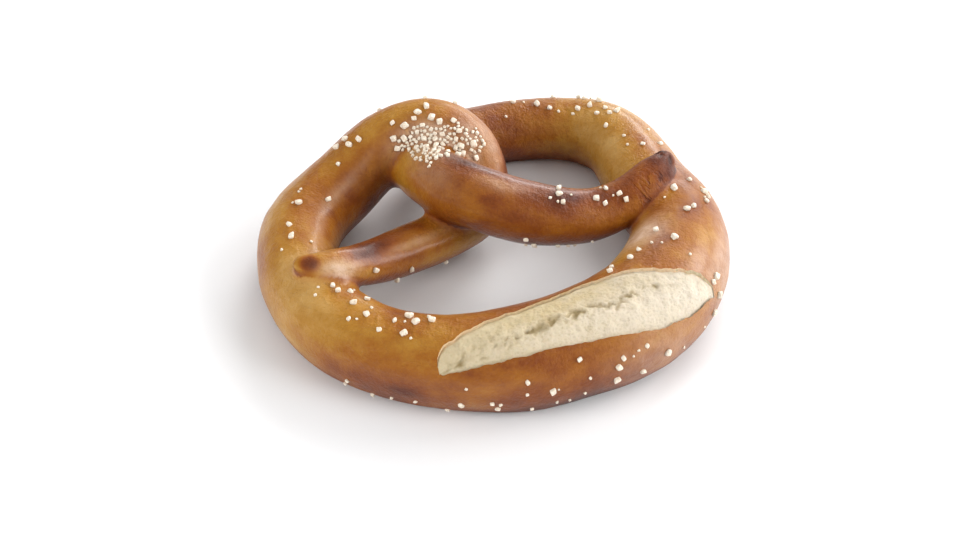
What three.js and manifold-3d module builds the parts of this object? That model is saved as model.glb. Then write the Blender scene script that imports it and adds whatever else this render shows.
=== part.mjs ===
// Soft pretzel: one rope of dough, thick in the belly and thin at the ends, tied with a full
// twist and baked into a single piece. The belly is slashed, and coarse salt is baked onto it.
// Millimetres, +Z up, the belly towards -Y. The origin is under the middle of the bounding box,
// at the height of the flat base that it was baked on.

import * as THREE from 'three';
import { mergeVertices } from 'three/addons/utils/BufferGeometryUtils.js';
import Module from 'manifold-3d';

const wasm = await Module();
wasm.setup();

// The dough's section
const roundness = 0.97; // height over width
const sitting = 0.8; // centre height over half a section's height, where the loop lies flat
const unevenness = 0.014; // slow swelling and thinning, as a share of the half width
const sidesAround = 22;
const ringsPerStation = 2;
const ringsPerKnotStation = 4; // closer where the left arm turns up and over
const tipRings = 4;

// The loop: a rounded outline, four quarters with their own half length and squareness.
// Angles are in degrees from +X, anticlockwise.
const loopCentre = [0.8, 4];
const loopHalfWidth = 58.8;
const loopHalfDepth = { frontLeft: 50.5, frontRight: 50.5, backLeft: 52.8, backRight: 54.5 };
const loopSquareness = { frontLeft: 1.85, frontRight: 2.1, backLeft: 2.3, backRight: 3.3 };
const loopStart = 140;
const loopEnd = 424;
const loopStations = 24;
const bulges = [
  { name: 'where the right tip presses the lobe in', angle: 367, spread: 10, amount: -3 },
  { name: 'shoulder of the right lobe', angle: 391, spread: 15, amount: 4.5 },
  { name: 'belly, right of its middle', angle: 299, spread: 18, amount: 2.2 },
];

// Half width of the dough by loop angle
const loopGirth = [
  [112, 11.4], [150, 12], [180, 12.6], [215, 13.2], [250, 15], [285, 17],
  [310, 17], [345, 14.6], [375, 12.2], [400, 10.7], [432, 9.8],
];

// The two arms, each from one end to the other: x, y, z and half width
const leftArm = [
  [-59, 5, 24.5, 3], [-51, 3, 22.5, 5], [-41, 6, 16.5, 6.4], [-26, 12, 11.5, 7.2],
  [-9, 16, 9.5, 8], [5.5, 20.5, 11, 8.8], [10, 31.5, 20, 8.8], [4, 43, 28, 9.8],
  [-7, 48.5, 27, 10.6], [-19, 50, 19, 11.2], [-30.5, 46.5, 12.5, 11.5],
];
const rightArm = [
  [12, 58, 9, 9.8], [-1.5, 50.5, 12, 9.8], [-8, 38.5, 19, 9.8], [-7, 23.5, 24.5, 10],
  [-0.5, 9.5, 26, 10], [10, 1.5, 23.5, 9.7], [22, -3, 21, 9], [34, -5, 19.5, 8],
  [45, -4.5, 22.5, 7], [53, -1, 25.5, 6], [58, 2, 26.5, 4],
];
const leftCrossing = 5; // station under the front strand, where the left arm passes to the knot
const knotEnd = 8; // last station of the knot's tight turn

// The slash: a straight cut across the curved belly, which baked open to a lens in plan
const slashFrom = [-39.5, -46.5];
const slashTo = [50.5, -49];
const slashInward = 9;
const slashOutward = 11;
const slashDepth = 1.3;
const slashLowest = 12.5;
const slashStations = [16, 27.5];

// Torn pits along the slash
const pitCount = 9;
const pitStations = [18.5, 25.2];
const pitTilt = [48, 66]; // round the section, at the row's ends and in its middle
const pitHalfSize = [2.1, 0.9, 0.8];

// Salt: stations along the rope, degrees round the section (0 outward, 90 up), count and size
const saltZones = [
  { name: 'knot crease', along: [6, 8.3], round: [104, 158], count: 22, size: 1.8 },
  { name: 'front strand by the knot', along: [36.9, 38.3], round: [70, 130], count: 9, size: 1.8 },
  { name: 'top of the knot', along: [6.8, 9.2], round: [35, 100], count: 6, size: 1.8 },
  { name: 'left lobe', along: [9.2, 14.4], round: [60, 125], count: 8, size: 1.8 },
  { name: 'belly, left', along: [14.9, 18.9], round: [66, 125], count: 14, size: 1.8 },
  { name: 'belly, lower edge', along: [16.3, 21.6], round: [-34, -6], count: 14, size: 1.3 },
  { name: 'belly, front', along: [19, 22], round: [-6, 34], count: 3, size: 1.8 },
  { name: 'belly, right', along: [22.3, 25.4], round: [-12, 32], count: 13, size: 1.8 },
  { name: 'belly, inside the slash', along: [22.5, 24.8], round: [114, 142], count: 5, size: 1.8 },
  { name: 'right lobe', along: [25.1, 28.3], round: [40, 128], count: 9, size: 1.8 },
  { name: 'right lobe, back', along: [29.3, 34], round: [48, 116], count: 16, size: 1.8 },
  { name: 'right arm', along: [40.4, 42.8], round: [50, 112], count: 8, size: 1.8 },
  { name: 'right arm, lower edge', along: [39.8, 42], round: [-50, -14], count: 8, size: 1.3 },
  { name: 'left arm', along: [1, 4.4], round: [-50, 40], count: 4, size: 1.8 },
];
const saltSeed = 29;

const up = new THREE.Vector3(0, 0, 1);
const degrees = Math.PI / 180;
const far = 200; // larger than the whole pretzel

function seededRandom(seed) {
  let state = seed;
  return () => {
    state = (state * 48271) % 2147483647;
    return state / 2147483647;
  };
}

function between(low, high, share) {
  return low + (high - low) * share;
}

function easedBetween(low, high, share) {
  return between(low, high, share * share * (3 - 2 * share));
}

function girthAt(angle) {
  const next = loopGirth.findIndex(([tableAngle]) => tableAngle >= angle);
  const [lowAngle, low] = loopGirth[next - 1];
  const [highAngle, high] = loopGirth[next];
  return easedBetween(low, high, (angle - lowAngle) / (highAngle - lowAngle));
}

// Inside 0 to 180: the angle between two directions
function turnBetween(one, other) {
  return Math.abs(((((one - other) % 360) + 540) % 360) - 180);
}

function loopStation(angle) {
  const across = Math.cos(angle * degrees);
  const deep = Math.sin(angle * degrees);
  const quarter = (deep < 0 ? 'front' : 'back') + (across < 0 ? 'Left' : 'Right');
  const power = loopSquareness[quarter];
  const acrossShare = Math.abs(across / loopHalfWidth) ** power;
  const deepShare = Math.abs(deep / loopHalfDepth[quarter]) ** power;
  let radius = (acrossShare + deepShare) ** (-1 / power);
  for (const bulge of bulges) {
    radius += bulge.amount * Math.exp(-((turnBetween(angle, bulge.angle) / bulge.spread) ** 2));
  }
  const girth = girthAt(angle);
  return [
    loopCentre[0] + radius * across,
    loopCentre[1] + radius * deep,
    sitting * roundness * girth,
    girth,
  ];
}

function loop() {
  const places = [];
  for (let i = 0; i < loopStations; i += 1) {
    places.push(loopStation(between(loopStart, loopEnd, i / (loopStations - 1))));
  }
  return places;
}

const stations = [...leftArm, ...loop(), ...rightArm];
const lastStation = stations.length - 1;
const rightCrossing = leftArm.length + loopStations; // station where the right arm leaves the loop

function pointPast(end, next) {
  return end.map((value, i) => 2 * value - next[i]);
}

// The rope's centre line and girth follow a uniform cubic B-spline of the stations
const controls = [
  pointPast(stations[0], stations[1]),
  ...stations,
  pointPast(stations[lastStation], stations[lastStation - 1]),
];

function placeWeights(f) {
  return [(1 - f) ** 3, 3 * f ** 3 - 6 * f ** 2 + 4, -3 * f ** 3 + 3 * f ** 2 + 3 * f + 1, f ** 3]
    .map((weight) => weight / 6);
}

function directionWeights(f) {
  return [-((1 - f) ** 2), 3 * f ** 2 - 4 * f, -3 * f ** 2 + 2 * f + 1, f ** 2]
    .map((weight) => weight / 2);
}

function blended(station, weightsAt) {
  const before = Math.min(Math.floor(station), lastStation - 1);
  const weights = weightsAt(station - before);
  return [0, 1, 2, 3].map((column) => weights.reduce(
    (sum, weight, i) => sum + weight * controls[before + i][column],
    0,
  ));
}

// The section at a station number, which may lie between two stations
function sectionAt(station) {
  const [x, y, z, girth] = blended(station, placeWeights);
  const along = new THREE.Vector3(...blended(station, directionWeights)).normalize();
  const out = new THREE.Vector3().crossVectors(along, up).normalize();
  const rise = new THREE.Vector3().crossVectors(out, along);
  const swelling = Math.sin(1.31 * station) + 0.6 * Math.sin(2.17 * station + 1);
  return {
    station,
    centre: new THREE.Vector3(x, y, z),
    along,
    out,
    rise,
    halfWidth: girth * (1 + unevenness * swelling),
  };
}

function pointOn(section, tilt, proud = 0) {
  const halfHeight = section.halfWidth * roundness;
  return section.centre.clone()
    .addScaledVector(section.out, (section.halfWidth + proud) * Math.cos(tilt))
    .addScaledVector(section.rise, (halfHeight + proud) * Math.sin(tilt));
}

// The rounded end of an arm: ever smaller sections, pushed out past the last one
function tipSections(section, direction) {
  const sections = [];
  for (let i = 1; i <= tipRings; i += 1) {
    const bend = (i / (tipRings + 1)) * (Math.PI / 2);
    const centre = section.centre.clone()
      .addScaledVector(section.along, direction * section.halfWidth * Math.sin(bend));
    sections.push({ ...section, centre, halfWidth: section.halfWidth * Math.cos(bend) });
  }
  return sections;
}

function apex(section, direction) {
  return section.centre.clone().addScaledVector(section.along, direction * section.halfWidth);
}

// A closed skin over a row of sections, ending in the two given points
function skinOver(sections, startPoint, endPoint, proud = 0) {
  const positions = [];
  for (const section of sections) {
    for (let i = 0; i < sidesAround; i += 1) {
      positions.push(...pointOn(section, (i / sidesAround) * 2 * Math.PI, proud).toArray());
    }
  }
  const startIndex = sections.length * sidesAround;
  const endIndex = startIndex + 1;
  positions.push(...startPoint.toArray(), ...endPoint.toArray());
  const faces = [];
  const lastRing = (sections.length - 1) * sidesAround;
  for (let i = 0; i < sidesAround; i += 1) {
    const next = (i + 1) % sidesAround;
    for (let ring = 0; ring < lastRing; ring += sidesAround) {
      const [a, b, c, d] = [ring + i, ring + next, ring + sidesAround + i, ring + sidesAround + next];
      faces.push(a, c, b, b, c, d);
    }
    faces.push(startIndex, i, next);
    faces.push(endIndex, lastRing + next, lastRing + i);
  }
  const geometry = new THREE.BufferGeometry();
  geometry.setAttribute('position', new THREE.Float32BufferAttribute(positions, 3));
  geometry.setIndex(faces);
  return geometry;
}

function sectionsBetween(from, to) {
  const sections = [];
  let station = from;
  while (station <= to) {
    sections.push(sectionAt(station));
    const inKnot = station >= leftCrossing && station < knotEnd;
    station += 1 / (inKnot ? ringsPerKnotStation : ringsPerStation);
  }
  return sections;
}

function solid(geometry) {
  const bare = geometry.clone();
  bare.deleteAttribute('normal');
  bare.deleteAttribute('uv');
  const merged = mergeVertices(bare, 1e-5);
  return new wasm.Manifold(new wasm.Mesh({
    numProp: 3,
    vertProperties: new Float32Array(merged.attributes.position.array),
    triVerts: new Uint32Array(merged.index.array),
  }));
}

function geometryOf(manifold) {
  const mesh = manifold.getMesh();
  const geometry = new THREE.BufferGeometry();
  geometry.setAttribute('position', new THREE.BufferAttribute(mesh.vertProperties, 3));
  geometry.setIndex(new THREE.BufferAttribute(mesh.triVerts, 1));
  return geometry;
}

// The whole rope, in three lengths that share their end sections
function dough() {
  const leftLength = sectionsBetween(0, leftCrossing);
  const middleLength = sectionsBetween(leftCrossing, rightCrossing);
  const rightLength = sectionsBetween(rightCrossing, lastStation);
  const leftEnd = leftLength[0];
  const rightEnd = rightLength[rightLength.length - 1];
  const leftJoin = middleLength[0].centre;
  const rightJoin = rightLength[0].centre;
  const left = [...tipSections(leftEnd, -1).reverse(), ...leftLength];
  const right = [...rightLength, ...tipSections(rightEnd, 1)];
  const ground = new THREE.BoxGeometry(far, far, far).translate(0, 0, -far / 2);
  return solid(skinOver(middleLength, leftJoin, rightJoin))
    .add(solid(skinOver(left, apex(leftEnd, -1), leftJoin)))
    .add(solid(skinOver(right, rightJoin, apex(rightEnd, 1))))
    .subtract(solid(ground));
}

function slashOutline() {
  const from = new THREE.Vector2(...slashFrom);
  const to = new THREE.Vector2(...slashTo);
  const middle = from.clone().add(to).divideScalar(2);
  const inward = new THREE.Vector2(from.y - to.y, to.x - from.x).normalize();
  const innerBend = middle.clone().addScaledVector(inward, 2 * slashInward);
  const outerBend = middle.clone().addScaledVector(inward, -2 * slashOutward);
  const outline = new THREE.Shape();
  outline.moveTo(from.x, from.y);
  outline.quadraticCurveTo(outerBend.x, outerBend.y, to.x, to.y);
  outline.quadraticCurveTo(innerBend.x, innerBend.y, from.x, from.y);
  return outline;
}

// What the slash takes off: the skin of the belly, as deep as the slash, inside the lens
function slashCutter() {
  const sections = sectionsBetween(...slashStations);
  const first = sections[0];
  const last = sections[sections.length - 1];
  const above = skinOver(sections, first.centre, last.centre, slashDepth);
  const inside = [sectionAt(slashStations[0] - 0.3), ...sections, sectionAt(slashStations[1] + 0.3)];
  const core = skinOver(inside, inside[0].centre, inside[inside.length - 1].centre, -slashDepth);
  const lens = new THREE.ExtrudeGeometry(slashOutline(), {
    depth: far,
    bevelEnabled: false,
    curveSegments: 18,
  }).translate(0, 0, slashLowest);
  return solid(above).subtract(solid(core)).intersect(solid(lens));
}

function slashPits() {
  const pits = [];
  for (let i = 0; i < pitCount; i += 1) {
    const share = (i + 0.5) / pitCount;
    const section = sectionAt(between(...pitStations, share));
    const tilt = between(...pitTilt, Math.sin(share * Math.PI)) * degrees;
    const normal = pointOn(section, tilt, 1).sub(pointOn(section, tilt));
    const place = new THREE.Matrix4()
      .makeBasis(section.along, new THREE.Vector3().crossVectors(normal, section.along), normal)
      .setPosition(pointOn(section, tilt, -slashDepth));
    pits.push(new THREE.SphereGeometry(1, 7, 4).scale(...pitHalfSize).applyMatrix4(place));
  }
  return pits;
}

function insideSlash(point) {
  const from = new THREE.Vector2(...slashFrom);
  const to = new THREE.Vector2(...slashTo);
  const run = to.clone().sub(from);
  const away = new THREE.Vector2(point.x, point.y).sub(from);
  const share = away.dot(run) / run.lengthSq();
  const sideways = away.cross(run) / -run.length();
  const bow = 4 * share * (1 - share);
  const margin = 1;
  return share > 0 && share < 1 && point.z > slashLowest
    && sideways < slashInward * bow + margin && sideways > -slashOutward * bow - margin;
}

// Whether a point on one strand lies under another strand
function buried(point, station, sections) {
  return sections.some((section) => {
    const away = point.clone().sub(section.centre);
    const nearby = Math.abs(away.dot(section.along)) < 2.5 && Math.abs(section.station - station) > 2;
    const across = away.dot(section.out) / section.halfWidth;
    const rise = away.dot(section.rise) / (section.halfWidth * roundness);
    return nearby && across * across + rise * rise < 1.05;
  });
}

function saltPlaces() {
  const random = seededRandom(saltSeed);
  const sections = sectionsBetween(0, lastStation);
  const places = [];
  for (const zone of saltZones) {
    let placed = 0;
    for (let attempt = 0; placed < zone.count && attempt < 12 * zone.count; attempt += 1) {
      const section = sectionAt(between(...zone.along, random()));
      const tilt = between(...zone.round, random()) * degrees;
      const size = zone.size * between(0.75, 1.15, random());
      const spin = random() * 2 * Math.PI;
      const lean = between(-0.5, 0.5, random());
      const point = pointOn(section, tilt);
      const crowded = places.some((other) => other.point.distanceTo(point) < 0.7 * (other.size + size));
      const hidden = insideSlash(point) || buried(point, section.station, sections);
      if (!crowded && !hidden && point.z > size) {
        places.push({ section, tilt, point, size, spin, lean });
        placed += 1;
      }
    }
  }
  return places;
}

// A grain is a small block with its corners knocked about
function grain(place, random) {
  const normal = pointOn(place.section, place.tilt, 1).sub(pointOn(place.section, place.tilt));
  const sideways = new THREE.Vector3().crossVectors(normal, place.section.along);
  const turned = new THREE.Matrix4()
    .makeBasis(place.section.along, sideways, normal)
    .multiply(new THREE.Matrix4().makeRotationZ(place.spin))
    .multiply(new THREE.Matrix4().makeRotationX(place.lean))
    .setPosition(place.point);
  const block = new THREE.BoxGeometry(place.size, 0.85 * place.size, 0.8 * place.size);
  block.deleteAttribute('normal');
  block.deleteAttribute('uv');
  const corners = mergeVertices(block);
  const position = corners.attributes.position;
  for (let i = 0; i < position.count; i += 1) {
    const pull = between(0.72, 1, random());
    position.setXYZ(i, position.getX(i) * pull, position.getY(i) * pull, position.getZ(i) * pull);
  }
  return corners.applyMatrix4(turned);
}

function pretzel() {
  let bread = dough().subtract(slashCutter());
  for (const pit of slashPits()) {
    bread = bread.subtract(solid(pit));
  }
  const random = seededRandom(saltSeed + 1);
  let salt = null;
  for (const place of saltPlaces()) {
    const piece = solid(grain(place, random));
    salt = salt ? salt.add(piece) : piece;
  }
  const geometry = geometryOf(bread.add(salt));
  geometry.computeBoundingBox();
  const middle = geometry.boundingBox.getCenter(new THREE.Vector3());
  geometry.translate(-middle.x, -middle.y, 0);
  geometry.computeVertexNormals();
  const crust = new THREE.MeshStandardMaterial({ color: 0xa8672f, roughness: 0.35, metalness: 0 });
  const mesh = new THREE.Mesh(geometry, crust);
  mesh.name = 'pretzel';
  return mesh;
}

const softPretzel = new THREE.Group();
softPretzel.add(pretzel());

export default softPretzel;
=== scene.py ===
# Soft pretzel: one rope of dough, tied and baked, with a slashed belly and coarse salt on it.
# The rope is worked out in millimetres about the loop, and the meshes are made in metres.
import math

import bpy
import numpy as np
from mathutils import Matrix, Vector
from mathutils.bvhtree import BVHTree


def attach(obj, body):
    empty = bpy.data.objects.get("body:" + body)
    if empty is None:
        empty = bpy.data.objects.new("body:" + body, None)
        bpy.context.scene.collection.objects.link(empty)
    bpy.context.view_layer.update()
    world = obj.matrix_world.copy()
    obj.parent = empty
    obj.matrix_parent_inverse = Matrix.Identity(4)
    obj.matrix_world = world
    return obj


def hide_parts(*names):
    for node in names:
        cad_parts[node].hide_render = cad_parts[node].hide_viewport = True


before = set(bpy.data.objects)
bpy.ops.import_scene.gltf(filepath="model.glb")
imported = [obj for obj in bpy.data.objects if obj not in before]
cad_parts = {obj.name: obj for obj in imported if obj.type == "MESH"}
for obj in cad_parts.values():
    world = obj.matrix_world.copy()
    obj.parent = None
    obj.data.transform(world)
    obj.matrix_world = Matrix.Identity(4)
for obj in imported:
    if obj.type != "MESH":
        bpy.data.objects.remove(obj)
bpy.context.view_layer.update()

scene = bpy.context.scene
metresPerMm = 0.001
upward = np.array([0.0, 0.0, 1.0])


def between(low, high, share):
    return low + (high - low) * share


def fade(low, high, value):
    # 0 at low and before, 1 at high and past it, eased; low may be the larger one
    share = np.clip((value - low) / (high - low), 0, 1)
    return share * share * (3 - 2 * share)


def hill(value, middle, spread):
    return np.exp(-((value - middle) / spread) ** 2)


def unit(vectors):
    return vectors / np.maximum(np.linalg.norm(vectors, axis=-1, keepdims=True), 1e-12)


def seededRandom(seed):
    multiplier, modulus = 48271, 2147483647
    state = seed
    while True:
        state = (state * multiplier) % modulus
        yield state / modulus


latticeSide = 32
latticeTurn = np.array(Matrix.Rotation(0.7, 3, Vector((1, 2, 3))))  # askew, so that no row of bumps shows


def lumps(points, size, seed):
    # smooth bumps of about that size, from -1 to 1
    lattice = np.random.default_rng(seed).uniform(-1, 1, (latticeSide,) * 3)
    place = points @ latticeTurn.T / size
    cell = np.floor(place).astype(int)
    share = place - cell
    share = share * share * (3 - 2 * share)
    total = np.zeros(len(points))
    for corner in np.ndindex(2, 2, 2):
        weight = np.prod(np.where(corner, share, 1 - share), axis=1)
        x, y, z = ((cell + corner) % latticeSide).T
        total += weight * lattice[x, y, z]
    return total


def lumpSum(points, rows):
    # rows of size, amount, seed
    return sum(amount * lumps(points, size, seed) for size, amount, seed in rows)


# the rope of dough, as the solid has it
dough = {
    "roundness": 0.97,  # height over width
    "sitting": 0.8,  # centre height over half a section's height, where the loop lies flat
    "unevenness": 0.014,
    "swellings": [(1.31, 0, 1), (2.17, 1, 0.6)],  # waves along the rope: how close, start, share
    "loopCentre": (0.8, 4),
    "loopHalfWidth": 58.8,
    "loopHalfDepth": {"frontLeft": 50.5, "frontRight": 50.5, "backLeft": 52.8, "backRight": 54.5},
    "loopSquareness": {"frontLeft": 1.85, "frontRight": 2.1, "backLeft": 2.3, "backRight": 3.3},
    "loopAngles": (140, 424),  # degrees from +X, anticlockwise
    "loopStations": 24,
    "bulges": [(367, 10, -3), (391, 15, 4.5), (299, 18, 2.2)],  # angle, spread, amount
    "loopGirth": [(112, 11.4), (150, 12), (180, 12.6), (215, 13.2), (250, 15), (285, 17),
                  (310, 17), (345, 14.6), (375, 12.2), (400, 10.7), (432, 9.8)],
    "leftArm": [(-59, 5, 24.5, 3), (-51, 3, 22.5, 5), (-41, 6, 16.5, 6.4), (-26, 12, 11.5, 7.2),
                (-9, 16, 9.5, 8), (5.5, 20.5, 11, 8.8), (10, 31.5, 20, 8.8), (4, 43, 28, 9.8),
                (-7, 48.5, 27, 10.6), (-19, 50, 19, 11.2), (-30.5, 46.5, 12.5, 11.5)],
    "rightArm": [(12, 58, 9, 9.8), (-1.5, 50.5, 12, 9.8), (-8, 38.5, 19, 9.8), (-7, 23.5, 24.5, 10),
                 (-0.5, 9.5, 26, 10), (10, 1.5, 23.5, 9.7), (22, -3, 21, 9), (34, -5, 19.5, 8),
                 (45, -4.5, 22.5, 7), (53, -1, 25.5, 6), (58, 2, 26.5, 4)],
    "boxMiddle": (0.886, 1.761, 0),  # taken off, so that the origin is under the box's middle
}
boxMiddle = np.array(dough["boxMiddle"])


def loopStation(angle):
    across = math.cos(math.radians(angle))
    deep = math.sin(math.radians(angle))
    quarter = ("front" if deep < 0 else "back") + ("Left" if across < 0 else "Right")
    power = dough["loopSquareness"][quarter]
    acrossShare = abs(across / dough["loopHalfWidth"]) ** power
    deepShare = abs(deep / dough["loopHalfDepth"][quarter]) ** power
    radius = (acrossShare + deepShare) ** (-1 / power)
    for bulgeAngle, spread, amount in dough["bulges"]:
        turn = abs((angle - bulgeAngle) % 360 + 180) % 360 - 180
        radius += amount * math.exp(-(turn / spread) ** 2)
    table = dough["loopGirth"]
    following = next(i for i, row in enumerate(table) if row[0] >= angle)
    (lowAngle, low), (highAngle, high) = table[following - 1], table[following]
    girth = between(low, high, float(fade(lowAngle, highAngle, angle)))
    x = dough["loopCentre"][0] + radius * across
    y = dough["loopCentre"][1] + radius * deep
    return (x, y, dough["sitting"] * dough["roundness"] * girth, girth)


loopRow = [loopStation(angle) for angle in np.linspace(*dough["loopAngles"], dough["loopStations"])]
stations = np.array(dough["leftArm"] + loopRow + dough["rightArm"], float)
lastStation = len(stations) - 1
controls = np.vstack([2 * stations[0] - stations[1], stations, 2 * stations[-1] - stations[-2]])


def sectionsAt(station):
    station = np.asarray(station, float)
    before = np.clip(np.floor(station), 0, lastStation - 1).astype(int)
    f = station - before
    place = [(1 - f) ** 3, 3 * f ** 3 - 6 * f ** 2 + 4, -3 * f ** 3 + 3 * f ** 2 + 3 * f + 1, f ** 3]
    slope = [-(1 - f) ** 2, 3 * f ** 2 - 4 * f, -3 * f ** 2 + 2 * f + 1, f ** 2]
    at = sum(weight[:, None] * controls[before + i] for i, weight in enumerate(place)) / 6
    speed = sum(weight[:, None] * controls[before + i, :3] for i, weight in enumerate(slope)) / 2
    along = unit(speed)
    out = unit(np.cross(along, upward))
    swelling = sum(share * np.sin(pace * station + start) for pace, start, share in dough["swellings"])
    return {
        "centre": at[:, :3],
        "along": along,
        "out": out,
        "rise": np.cross(out, along),
        "half": at[:, 3] * (1 + dough["unevenness"] * swelling),
        "pace": np.linalg.norm(speed, axis=1),  # millimetres for each station
    }


def onSection(section, tilt, proud=0):
    across = (section["half"] + proud) * np.cos(tilt)
    rise = (section["half"] * dough["roundness"] + proud) * np.sin(tilt)
    return section["centre"] + across[:, None] * section["out"] + rise[:, None] * section["rise"]


def inSection(points, section):
    # how far across and up the section, as a share of its own size, and how far ahead of it
    away = points - section["centre"]
    across = (away * section["out"]).sum(axis=1) / section["half"]
    rise = (away * section["rise"]).sum(axis=1) / (section["half"] * dough["roundness"])
    return across, rise, (away * section["along"]).sum(axis=1)


finder = {"coarse": 0.125, "steps": 5, "stride": 0.8, "ownStrand": 2.5, "farAway": 1e3, "chunk": 3000}


def placesOnRope(points):
    # where each point lies: its station, its tilt round the section, how far out it is as a share
    # of the section's own size, and how far it is from the nearest other strand
    coarse = np.arange(0, lastStation + 1e-6, finder["coarse"])
    rope = sectionsAt(coarse)
    station = np.empty(len(points))
    other = np.empty(len(points))
    for first in range(0, len(points), finder["chunk"]):
        some = points[first:first + finder["chunk"]]
        away = np.linalg.norm(some[:, None] - rope["centre"][None], axis=2) - rope["half"]
        nearest = coarse[away.argmin(axis=1)]
        away[np.abs(coarse[None] - nearest[:, None]) < finder["ownStrand"]] = finder["farAway"]
        station[first:first + len(some)] = nearest
        other[first:first + len(some)] = away.min(axis=1)
    for _ in range(finder["steps"]):
        section = sectionsAt(station)
        ahead = inSection(points, section)[2]
        station = np.clip(station + finder["stride"] * ahead / section["pace"], 0, lastStation)
    section = sectionsAt(station)
    across, rise, ahead = inSection(points, section)
    return {
        "station": station,
        "tilt": np.arctan2(rise, across),
        "reach": np.sqrt(across ** 2 + rise ** 2 + (ahead / section["half"]) ** 2),
        "other": other,
        "section": section,
    }


def meshFrom(name, points, faces):
    mesh = bpy.data.meshes.new(name)
    mesh.from_pydata(np.asarray(points, float).tolist(), [], faces)
    mesh.update()
    return mesh


def objectFrom(name, mesh):
    made = bpy.data.objects.new(name, mesh)
    scene.collection.objects.link(made)
    return made


def taken(items, name, width, kind=np.float32):
    flat = np.empty(len(items) * width, kind)
    items.foreach_get(name, flat)
    return flat.reshape(-1, width)


def pointsOf(mesh):
    return taken(mesh.vertices, "co", 3).astype(float)


def normalsOf(mesh):
    return taken(mesh.vertex_normals, "vector", 3).astype(float)


def edgesOf(mesh):
    return taken(mesh.edges, "vertices", 2, np.int32)


def movePoints(mesh, points):
    mesh.vertices.foreach_set("co", points.astype(np.float32).ravel())
    mesh.update()


def relaxed(points, edges, share, rounds):
    # each point moves that share of the way to the middle of its neighbours
    count = np.bincount(edges.ravel(), minlength=len(points))
    for _ in range(rounds):
        middle = np.stack([
            np.bincount(edges[:, 0], points[edges[:, 1], axis], len(points))
            + np.bincount(edges[:, 1], points[edges[:, 0], axis], len(points))
            for axis in range(3)
        ], axis=1) / np.maximum(count, 1)[:, None]
        points = points + share[:, None] * (middle - points)
    return points


def treeOf(points, mesh):
    return BVHTree.FromPolygons(points.tolist(), [tuple(face.vertices) for face in mesh.polygons])


def modified(mesh, kind, **settings):
    whole = objectFrom("beforeChange", mesh)
    change = whole.modifiers.new("change", kind)
    for name, value in settings.items():
        setattr(change, name, value)
    bpy.context.view_layer.update()
    changed = whole.evaluated_get(bpy.context.evaluated_depsgraph_get())
    made = bpy.data.meshes.new_from_object(changed)
    bpy.data.objects.remove(whole)
    return made


def give(mesh, name, values, domain="POINT"):
    kind, key = ("FLOAT", "value") if np.ndim(values) == 1 else ("FLOAT_VECTOR", "vector")
    mesh.attributes.new(name, kind, domain).data.foreach_set(key, np.asarray(values, np.float32).ravel())


# the rope is fused where it crosses itself, settled on its base and risen unevenly
bread = {
    "sides": 72,
    "ringsPerStation": 12,
    "tipRings": 9,
    "grain": 0.78,  # length of a face's side
    "baseRound": 1.6,  # how softly the sides meet the flat base
    "firstRelax": (0.5, 3),  # share and rounds
    "trueFrom": 1.5,  # clear of creases and base by this much, the dough keeps the rope's true form
    "fillet": 3.2,  # how far from another strand the dough starts to flow into it
    "filletRise": 0.8,
    "filletFull": 0.5,
    "evenRelax": (0.6, 10),
    "creaseRelax": (0.6, 36),
    "lumps": [(17, 0.42, 3), (7.5, 0.16, 4), (3.1, 0.05, 5)],  # size, height, seed
    "lumpsFrom": (0.2, 3.5),  # none on the base, all of them above this height
    # folds round the right arm's tip: angle from the arm, and how deep
    "puckers": [(-2.5, 0.6), (-2.0, 0.8), (-1.45, 0.6), (-0.95, 0.9), (-0.5, 0.7),
                (-0.05, 0.5), (0.6, 0.5), (1.4, 0.5), (2.4, 0.6)],
    "puckerStart": (1, 3),
    "puckerEnd": (8.5, 4.5),
    "puckerWidth": 0.13,
    "puckerSway": (0.4, 5),  # how much a fold's width varies, and how each fold's start differs
}


def softFloor(z):
    rounding = bread["baseRound"]
    eased = (z + rounding) ** 2 / (4 * rounding)
    return np.where(z >= rounding, z, np.where(z <= -rounding, 0, eased))


def ropeSkin():
    station = np.linspace(0, lastStation, lastStation * bread["ringsPerStation"] + 1)
    rope = sectionsAt(station)
    tips, apexes = [], []
    for end, direction in ((0, -1), (-1, 1)):
        bend = np.arange(1, bread["tipRings"]) / bread["tipRings"] * math.pi / 2
        half = rope["half"][end]
        section = {key: np.repeat(rope[key][end][None], len(bend), axis=0) for key in rope}
        section["centre"] = section["centre"] + (
            direction * half * np.sin(bend)[:, None] * rope["along"][end])
        section["half"] = half * np.cos(bend)
        tips.append(section)
        apexes.append(rope["centre"][end] + direction * half * rope["along"][end])
    first = {key: tips[0][key][::-1] for key in rope}
    whole = {key: np.concatenate([first[key], rope[key], tips[1][key]]) for key in rope}
    sides = bread["sides"]
    rings = [onSection(whole, 2 * math.pi * i / sides) for i in range(sides)]
    points = np.stack(rings, axis=1).reshape(-1, 3)
    points = np.vstack([points, *apexes])
    points[:, 2] = softFloor(points[:, 2])
    ringCount = len(whole["half"])
    faces = []
    for ring in range(ringCount - 1):
        low = ring * sides
        for i in range(sides):
            j = (i + 1) % sides
            faces.append((low + i, low + sides + i, low + sides + j, low + j))
    top = (ringCount - 1) * sides
    start = ringCount * sides
    for i in range(sides):
        j = (i + 1) % sides
        faces.append((start, i, j))
        faces.append((start + 1, top + j, top + i))
    return points, faces


def fused(points, faces):
    skin = meshFrom("ropeSkin", points, faces)
    return modified(skin, "REMESH", mode="VOXEL", voxel_size=bread["grain"])


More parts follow.
